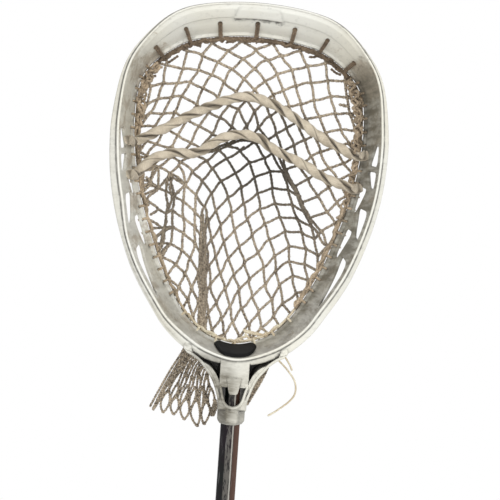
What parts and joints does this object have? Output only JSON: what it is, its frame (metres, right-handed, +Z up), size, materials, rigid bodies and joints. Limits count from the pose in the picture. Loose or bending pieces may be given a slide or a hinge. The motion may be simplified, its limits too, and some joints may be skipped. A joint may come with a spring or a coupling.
{
  "type": "lacrosse goalie stick",
  "caption": "Goalkeeper's lacrosse stick: wide moulded head with trussed side walls and a knotted mesh pocket on an octagonal alloy shaft with a rubber butt cap.",
  "frame": {"origin": "centre of the butt cap's flat end, on the shaft's axis", "axes": "+Z runs up the shaft to the scoop, -Y is the side the open face of the head looks to, and +X is to the right seen from that side"},
  "size_m": [0.3236, 0.1198, 1.4366],
  "materials": {
    "plastic": "satin moulded plastic, scuffed and dirt-stained",
    "alloy": "dark coated alloy tube, worn print on the front flat",
    "rubber": "matte black",
    "steel": "plated screw",
    "foam": "black closed-cell foam with a smooth skin",
    "mesh_cord": "tan and grey-brown knotted nylon cord",
    "lace": "flat woven lace, beige, soiled",
    "cream": "waxed braided cord, cream",
    "tan": "twisted cord, tan"
  },
  "bodies": {
    "root": {"head_frame": "plastic", "head_screw": "steel", "shaft": "alloy", "butt_cap": "rubber", "ball_stop_pad": "foam", "pocket_net": "mesh_cord", "mesh_tail": "mesh_cord", "top_string": "tan", "side_string_right": "tan", "side_string_left": "tan", "bottom_string": "cream", "upper_shooter_lace_1": "lace", "upper_shooter_lace_2": "lace", "lower_shooter_lace_1": "lace", "lower_shooter_lace_2": "lace", "loose_string_long": "cream", "loose_string_short": "cream"}
  },
  "joints": []
}
